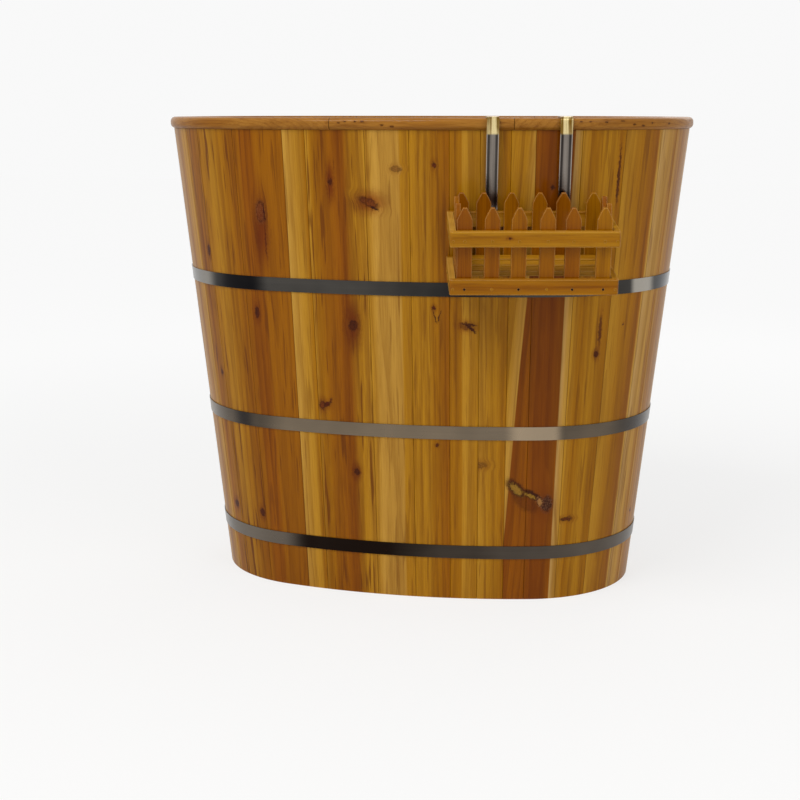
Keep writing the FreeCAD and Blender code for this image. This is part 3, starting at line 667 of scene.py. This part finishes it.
metal = {
    "tones": (0.36, 0.64),  # the noise at which a metal is darkest and lightest
    "noise": 0.6, "total": (0.3, 1.3),  # the noise's share beside the painted reflection, and what the two run from and to
    "yellow": (0.4, 0.56), "dull": (0.35, 0.65),  # the same for the painted reflection on a strap's bend and for the roughness
    "bump": 0.2, "depth": 0.0002,
}


def strapEdge(tree, where):
    # 0 in the middle of a strap, 1 at its edges
    board = addNode(tree, "ShaderNodeMapping", {"vector_type": "TEXTURE"}, {
        "Vector": where, "Location": caddyMatrix.to_translation(), "Rotation": caddyMatrix.to_euler()})
    local = addNode(tree, "ShaderNodeSeparateXYZ", {}, {0: board.outputs[0]})
    side = addNode(tree, "ShaderNodeMath", {"operation": "ABSOLUTE"}, {0: local.outputs["X"]})
    off = addNode(tree, "ShaderNodeMath", {"operation": "SUBTRACT"}, {
        0: side.outputs[0], 1: caddy["strapMiddle"]})
    reach = addNode(tree, "ShaderNodeMath", {"operation": "ABSOLUTE"}, {0: off.outputs[0]})
    return addNode(tree, "ShaderNodeMath", {"operation": "DIVIDE"}, {
        0: reach.outputs[0], 1: caddy["strapHalf"]}).outputs[0]


def makeSteel(name, look):
    material, tree = startMaterial(name)
    where = addNode(tree, "ShaderNodeTexCoord").outputs["Object"]
    spot = addNode(tree, "ShaderNodeSeparateXYZ", {}, {0: where})
    along = addNode(tree, "ShaderNodeMapping", {}, {"Vector": where, "Scale": look["lines"]})
    lines = addNode(tree, "ShaderNodeTexNoise", {}, {"Vector": along.outputs[0], "Scale": 1, "Detail": 3})
    patches = addNode(tree, "ShaderNodeTexNoise", {}, {
        "Vector": where, "Scale": look["patch"], "Detail": 4, "Roughness": 0.6})
    both = addNode(tree, "ShaderNodeMix", {"data_type": "FLOAT"}, {
        0: look["lineShare"], 2: patches.outputs["Fac"], 3: lines.outputs["Fac"]}).outputs[0]
    share = both
    darkest, lightest = metal["tones"]
    # painted reflections: laid along a hoop from the tub's left end to its right, or across a strap
    if "reflectionStops" in look:
        if "bendReflection" in look:
            across = strapEdge(tree, where)
        else:
            # 0 half a metre to the left of the tub's middle, 1 half a metre to the right
            across = addNode(tree, "ShaderNodeMath", {"operation": "ADD"}, {
                0: spot.outputs["X"], 1: 0.5}).outputs[0]
        reflectionStops = addNode(tree, "ShaderNodeValToRGB", {}, {0: across})
        setStops(reflectionStops.color_ramp, [(stop, grey(part)) for stop, part in look["reflectionStops"]])
        mixed = addNode(tree, "ShaderNodeMath", {"operation": "MULTIPLY_ADD"}, {
            0: both, 1: metal["noise"], 2: reflectionStops.outputs["Color"]})
        low, high = metal["total"]
        share = addNode(tree, "ShaderNodeMapRange", {}, {
            "Value": mixed.outputs[0], "From Min": low, "From Max": high,
            "To Min": darkest, "To Max": lightest}).outputs[0]
    tone = addNode(tree, "ShaderNodeValToRGB", {}, {0: share})
    setStops(tone.color_ramp, [(darkest, linear(look["dark"])), (lightest, linear(look["light"]))])
    colour = tone.outputs["Color"]
    # the painted straw yellow reflection where a strap bends over the rim
    if "bendReflection" in look:
        yellow = addNode(tree, "ShaderNodeValToRGB", {}, {0: both})
        setStops(yellow.color_ramp, [
            (stop, linear(hexColour)) for stop, hexColour in zip(metal["yellow"], look["bendReflection"])])
        bent = addNode(tree, "ShaderNodeMapRange", {"interpolation_type": "SMOOTHSTEP"}, {
            "Value": spot.outputs["Z"], "From Min": look["bendLevel"] - look["bendFade"],
            "From Max": look["bendLevel"]})
        colour = addNode(tree, "ShaderNodeMix", {"data_type": "RGBA"}, {
            0: bent.outputs[0], 6: colour, 7: yellow.outputs["Color"]}).outputs[2]
    low, high = metal["dull"]
    smooth, rough = look["roughness"]
    dull = addNode(tree, "ShaderNodeMapRange", {}, {
        "Value": patches.outputs["Fac"], "From Min": low, "From Max": high,
        "To Min": smooth, "To Max": rough})
    bump = addNode(tree, "ShaderNodeBump", {}, {
        "Height": lines.outputs["Fac"], "Strength": metal["bump"], "Distance": metal["depth"]})
    shader = addNode(tree, "ShaderNodeBsdfPrincipled", {}, {
        "Base Color": colour, "Metallic": 1.0, "Roughness": dull.outputs[0], "Normal": bump.outputs[0]})
    finishMaterial(tree, shader)
    return material


# Plastic, rubber and putty. "grain" is the texture of the skin per metre and "depth" its height.
plastics = {
    # moulded EPDM ring: matt black with a pale bloom
    "black EPDM rubber": {"dark": "#1A1A1A", "light": "#2A2928", "roughness": 0.62, "specular": 0.5,
                          "grain": 900, "depth": 0.0002},
    # injection moulded polypropylene: off white, slightly frosted
    "white polypropylene nut": {"dark": "#D2D2CC", "light": "#DEDED9", "roughness": 0.42, "specular": 0.5,
                                "grain": 1400, "depth": 0.0001},
    "white polypropylene pipe": {"dark": "#CFCFC9", "light": "#DDDDD8", "roughness": 0.38, "specular": 0.5,
                                 "grain": 1400, "depth": 0.0001},
    # putty tinted to the wood and rubbed flush: hardly shows
    "tinted wood putty": {"dark": "#93610A", "light": "#A06C0C", "roughness": 0.6, "specular": 0.03,
                          "grain": 900, "depth": 0.0002},
}
plasticSkin = {
    "marks": 30, "tones": (0.35, 0.65),  # blotches per metre, and the noise at which they are dark and light
    "sheen": 0.06, "bump": 0.3,  # how far the roughness strays, and the strength of the skin
}


def makePlastic(name):
    look = plastics[name]
    material, tree = startMaterial(name)
    where = addNode(tree, "ShaderNodeTexCoord").outputs["Object"]
    skin = addNode(tree, "ShaderNodeTexNoise", {}, {"Vector": where, "Scale": look["grain"], "Detail": 3})
    marks = addNode(tree, "ShaderNodeTexNoise", {}, {
        "Vector": where, "Scale": plasticSkin["marks"], "Detail": 4})
    tone = addNode(tree, "ShaderNodeValToRGB", {}, {0: marks.outputs["Fac"]})
    darkest, lightest = plasticSkin["tones"]
    setStops(tone.color_ramp, [(darkest, linear(look["dark"])), (lightest, linear(look["light"]))])
    bump = addNode(tree, "ShaderNodeBump", {}, {
        "Height": skin.outputs["Fac"], "Strength": plasticSkin["bump"], "Distance": look["depth"]})
    dull = addNode(tree, "ShaderNodeMapRange", {}, {
        "Value": marks.outputs["Fac"], "From Min": 0.3, "From Max": 0.7,
        "To Min": look["roughness"] - plasticSkin["sheen"],
        "To Max": look["roughness"] + plasticSkin["sheen"]})
    shader = addNode(tree, "ShaderNodeBsdfPrincipled", {}, {
        "Base Color": tone.outputs["Color"], "Roughness": dull.outputs[0], "Normal": bump.outputs[0],
        "Specular IOR Level": look["specular"]})
    finishMaterial(tree, shader)
    return material


steelNodes = {
    "upper hoop": ["hoop_upper"], "middle hoop": ["hoop_middle"], "lower hoop": ["hoop_lower"],
    "strap": ["strap_left", "strap_right"], "fixing": ["hoop_rivets", "strap_screws"],
    "chrome": ["drain_flange", "plug"],
}
for finish, names in steelNodes.items():
    steel = makeSteel(f"{finish} steel", steels[finish])
    for name in names:
        cover(name, steel)
cover("drain_seal", makePlastic("black EPDM rubber"))
cover("drain_nut", makePlastic("white polypropylene nut"))
cover("drain_outlet", makePlastic("white polypropylene pipe"))


def bareOrFilled(at):
    bare = min(abs(at.x - x) for x in caddy["bareNails"]) < caddy["nailReach"]
    return 0 if at.z < caddy["lowNails"] and (at.y > caddy["frontNails"] or bare) else 1


# most nails are set below the face and filled with putty
dress("caddy_nails", [makeSteel("nail steel", steels["nail"]), makePlastic("tinted wood putty")],
      bareOrFilled)
print("hardware done")

# Studio: a pale floor, a white background and three soft lamps
studio = {
    "floorSize": 30.0, "floorColour": "#F2F2F0",
    "floorGlow": (0.70, 0.90), "glowReach": (0.6, 3.0),  # the white of the floor near the tub and far off
    "ambient": 0.48, "background": 0.945, "aim": (0.0, 0.0, 0.45),
}
# place, watts and size
lamps = {
    "key lamp": ((-0.9, -2.2, 3.3), 62.0, 1.5),
    "fill lamp": ((1.9, -1.6, 2.3), 16.0, 2.0),
    "back lamp": ((0.6, 2.6, 2.2), 14.0, 2.0),
}


def seenDirectly(tree):
    # 1 for rays that show the background: straight to the camera, by reflection or through glass
    path = addNode(tree, "ShaderNodeLightPath")
    mirror = addNode(tree, "ShaderNodeMath", {"operation": "MAXIMUM"}, {
        0: path.outputs["Is Camera Ray"], 1: path.outputs["Is Glossy Ray"]})
    return addNode(tree, "ShaderNodeMath", {"operation": "MAXIMUM"}, {
        0: mirror.outputs[0], 1: path.outputs["Is Transmission Ray"]}).outputs[0]


bpy.ops.object.select_all(action="DESELECT")
bpy.ops.mesh.primitive_plane_add(size=studio["floorSize"], location=(0, 0, 0))
studioFloor = bpy.context.object
studioFloor.name = "studio_floor"
floorMaterial, tree = startMaterial("white studio floor")
paint = addNode(tree, "ShaderNodeBsdfDiffuse", {}, {"Color": linear(studio["floorColour"])})
glow = addNode(tree, "ShaderNodeEmission", {}, {"Color": grey(1), "Strength": 1.0})
where = addNode(tree, "ShaderNodeTexCoord")
away = addNode(tree, "ShaderNodeVectorMath", {"operation": "LENGTH"}, {0: where.outputs["Object"]})
whiteness = addNode(tree, "ShaderNodeMapRange", {"interpolation_type": "SMOOTHSTEP"}, {
    "Value": away.outputs["Value"], "From Min": studio["glowReach"][0], "From Max": studio["glowReach"][1],
    "To Min": studio["floorGlow"][0], "To Max": studio["floorGlow"][1]})
glowShare = addNode(tree, "ShaderNodeMath", {"operation": "MULTIPLY"}, {
    0: seenDirectly(tree), 1: whiteness.outputs[0]})
finishMaterial(tree, addNode(tree, "ShaderNodeMixShader", {}, {
    0: glowShare.outputs[0], 1: paint.outputs[0], 2: glow.outputs[0]}))
studioFloor.data.materials.append(floorMaterial)

world = bpy.data.worlds.new("plain studio")
bpy.context.scene.world = world
world.use_nodes = True
tree = world.node_tree
tree.nodes.clear()
soft = addNode(tree, "ShaderNodeBackground", {}, {"Color": grey(1), "Strength": studio["ambient"]})
white = addNode(tree, "ShaderNodeBackground", {}, {"Color": grey(1), "Strength": studio["background"]})
sky = addNode(tree, "ShaderNodeMixShader", {}, {
    0: seenDirectly(tree), 1: soft.outputs[0], 2: white.outputs[0]})
addNode(tree, "ShaderNodeOutputWorld", {}, {"Surface": sky.outputs[0]})

for name, (at, power, size) in lamps.items():
    bpy.ops.object.light_add(type="AREA", location=at)
    lamp = bpy.context.object
    lamp.name = name
    lamp.data.energy = power
    lamp.data.size = size
    lamp.rotation_euler = (Vector(studio["aim"]) - Vector(at)).to_track_quat("-Z", "Y").to_euler()

# the photograph's view, fitted to the rim, the hoops and the caddy; lens in mm, angles in radians
view = {"lens": 65.88, "sensor": 36.0, "at": (0.502, -2.710, 0.866), "down": 0.197, "left": 0.202}
bpy.ops.object.camera_add(location=view["at"], rotation=(math.pi / 2 - view["down"], 0, view["left"]))
camera = bpy.context.object
camera.data.lens = view["lens"]
camera.data.sensor_width = view["sensor"]
bpy.context.scene.camera = camera
bpy.context.scene.view_settings.view_transform = "Standard"
print("studio done")
